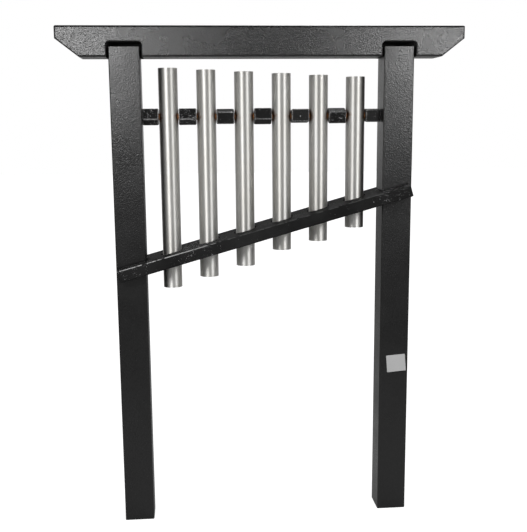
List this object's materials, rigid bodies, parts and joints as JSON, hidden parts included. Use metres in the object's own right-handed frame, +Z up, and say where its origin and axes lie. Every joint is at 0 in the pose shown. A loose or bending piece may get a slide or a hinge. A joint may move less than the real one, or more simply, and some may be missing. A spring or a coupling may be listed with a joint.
{
  "type": "outdoor tubular chime frame",
  "caption": "Free-standing outdoor chime frame: metal tubes of falling length hang on a rod between square posts and pass through a sloping rail under a wide top beam.",
  "frame": {"origin": "on the ground, midway between the two posts and midway between the rail's front and back edges", "axes": "+X to the right along the beam as a player sees it, +Y to the back, +Z up"},
  "size_m": [1.329, 0.2, 1.677],
  "materials": {
    "post_plastic": "black recycled plastic with a fine leathery skin",
    "beam_plastic": "black recycled plastic with a fine leathery skin",
    "rail_plastic": "black recycled plastic, rough and pitted",
    "spacer_plastic": "black recycled plastic, rough and pitted, with sawn edges",
    "tube_metal": "satin, drawn along its length",
    "rod_steel": "bright drawn bar",
    "fastener_steel": "plain stainless steel",
    "bush_rubber": "matt brown rubber",
    "plug_plastic": "moulded, matt",
    "plate_plastic": "plain pale grey"
  },
  "bodies": {
    "frame": {"left_post": "post_plastic", "right_post": "post_plastic", "top_beam": "beam_plastic", "beam_screws": "fastener_steel", "chime_rail": "rail_plastic", "rail_screws": "fastener_steel", "hanger_rod": "rod_steel", "rod_washers": "fastener_steel", "rod_nuts": "fastener_steel", "rod_plugs": "plug_plastic", "blank_plate": "plate_plastic"},
    "tube_1": {"chime_tube_1": "tube_metal", "tube_bushes_1": "bush_rubber"},
    "tube_2": {"chime_tube_2": "tube_metal", "tube_bushes_2": "bush_rubber"},
    "tube_3": {"chime_tube_3": "tube_metal", "tube_bushes_3": "bush_rubber"},
    "tube_4": {"chime_tube_4": "tube_metal", "tube_bushes_4": "bush_rubber"},
    "tube_5": {"chime_tube_5": "tube_metal", "tube_bushes_5": "bush_rubber"},
    "tube_6": {"chime_tube_6": "tube_metal", "tube_bushes_6": "bush_rubber"},
    "block_1": {"spacer_1": "spacer_plastic"},
    "block_2": {"spacer_2": "spacer_plastic"},
    "block_3": {"spacer_3": "spacer_plastic"},
    "block_4": {"spacer_4": "spacer_plastic"},
    "block_5": {"spacer_5": "spacer_plastic"},
    "block_6": {"spacer_6": "spacer_plastic"},
    "block_7": {"spacer_7": "spacer_plastic"}
  },
  "joints": [
    {"name": "tube_1_swing", "type": "hinge", "parent": "frame", "child": "tube_1", "pos_m": [-0.3113, 0, 1.39], "axis": [1, 0, 0], "range_deg": [-0.76, 0.76]},
    {"name": "tube_2_swing", "type": "hinge", "parent": "frame", "child": "tube_2", "pos_m": [-0.1867, 0, 1.39], "axis": [1, 0, 0], "range_deg": [-0.82, 0.82]},
    {"name": "tube_3_swing", "type": "hinge", "parent": "frame", "child": "tube_3", "pos_m": [-0.0622, 0, 1.39], "axis": [1, 0, 0], "range_deg": [-0.88, 0.88]},
    {"name": "tube_4_swing", "type": "hinge", "parent": "frame", "child": "tube_4", "pos_m": [0.0622, 0, 1.39], "axis": [1, 0, 0], "range_deg": [-0.96, 0.96]},
    {"name": "tube_5_swing", "type": "hinge", "parent": "frame", "child": "tube_5", "pos_m": [0.1867, 0, 1.39], "axis": [1, 0, 0], "range_deg": [-1.06, 1.06]},
    {"name": "tube_6_swing", "type": "hinge", "parent": "frame", "child": "tube_6", "pos_m": [0.3113, 0, 1.39], "axis": [1, 0, 0], "range_deg": [-1.17, 1.17]},
    {"name": "spacer_1_turn", "type": "hinge", "parent": "frame", "child": "block_1", "pos_m": [-0.37052, 0, 1.39], "axis": [1, 0, 0], "continuous": true},
    {"name": "spacer_2_turn", "type": "hinge", "parent": "frame", "child": "block_2", "pos_m": [-0.249, 0, 1.39], "axis": [1, 0, 0], "continuous": true},
    {"name": "spacer_3_turn", "type": "hinge", "parent": "frame", "child": "block_3", "pos_m": [-0.1245, 0, 1.39], "axis": [1, 0, 0], "continuous": true},
    {"name": "spacer_4_turn", "type": "hinge", "parent": "frame", "child": "block_4", "pos_m": [0, 0, 1.39], "axis": [1, 0, 0], "continuous": true},
    {"name": "spacer_5_turn", "type": "hinge", "parent": "frame", "child": "block_5", "pos_m": [0.1245, 0, 1.39], "axis": [1, 0, 0], "continuous": true},
    {"name": "spacer_6_turn", "type": "hinge", "parent": "frame", "child": "block_6", "pos_m": [0.249, 0, 1.39], "axis": [1, 0, 0], "continuous": true},
    {"name": "spacer_7_turn", "type": "hinge", "parent": "frame", "child": "block_7", "pos_m": [0.37052, 0, 1.39], "axis": [1, 0, 0], "continuous": true}
  ]
}
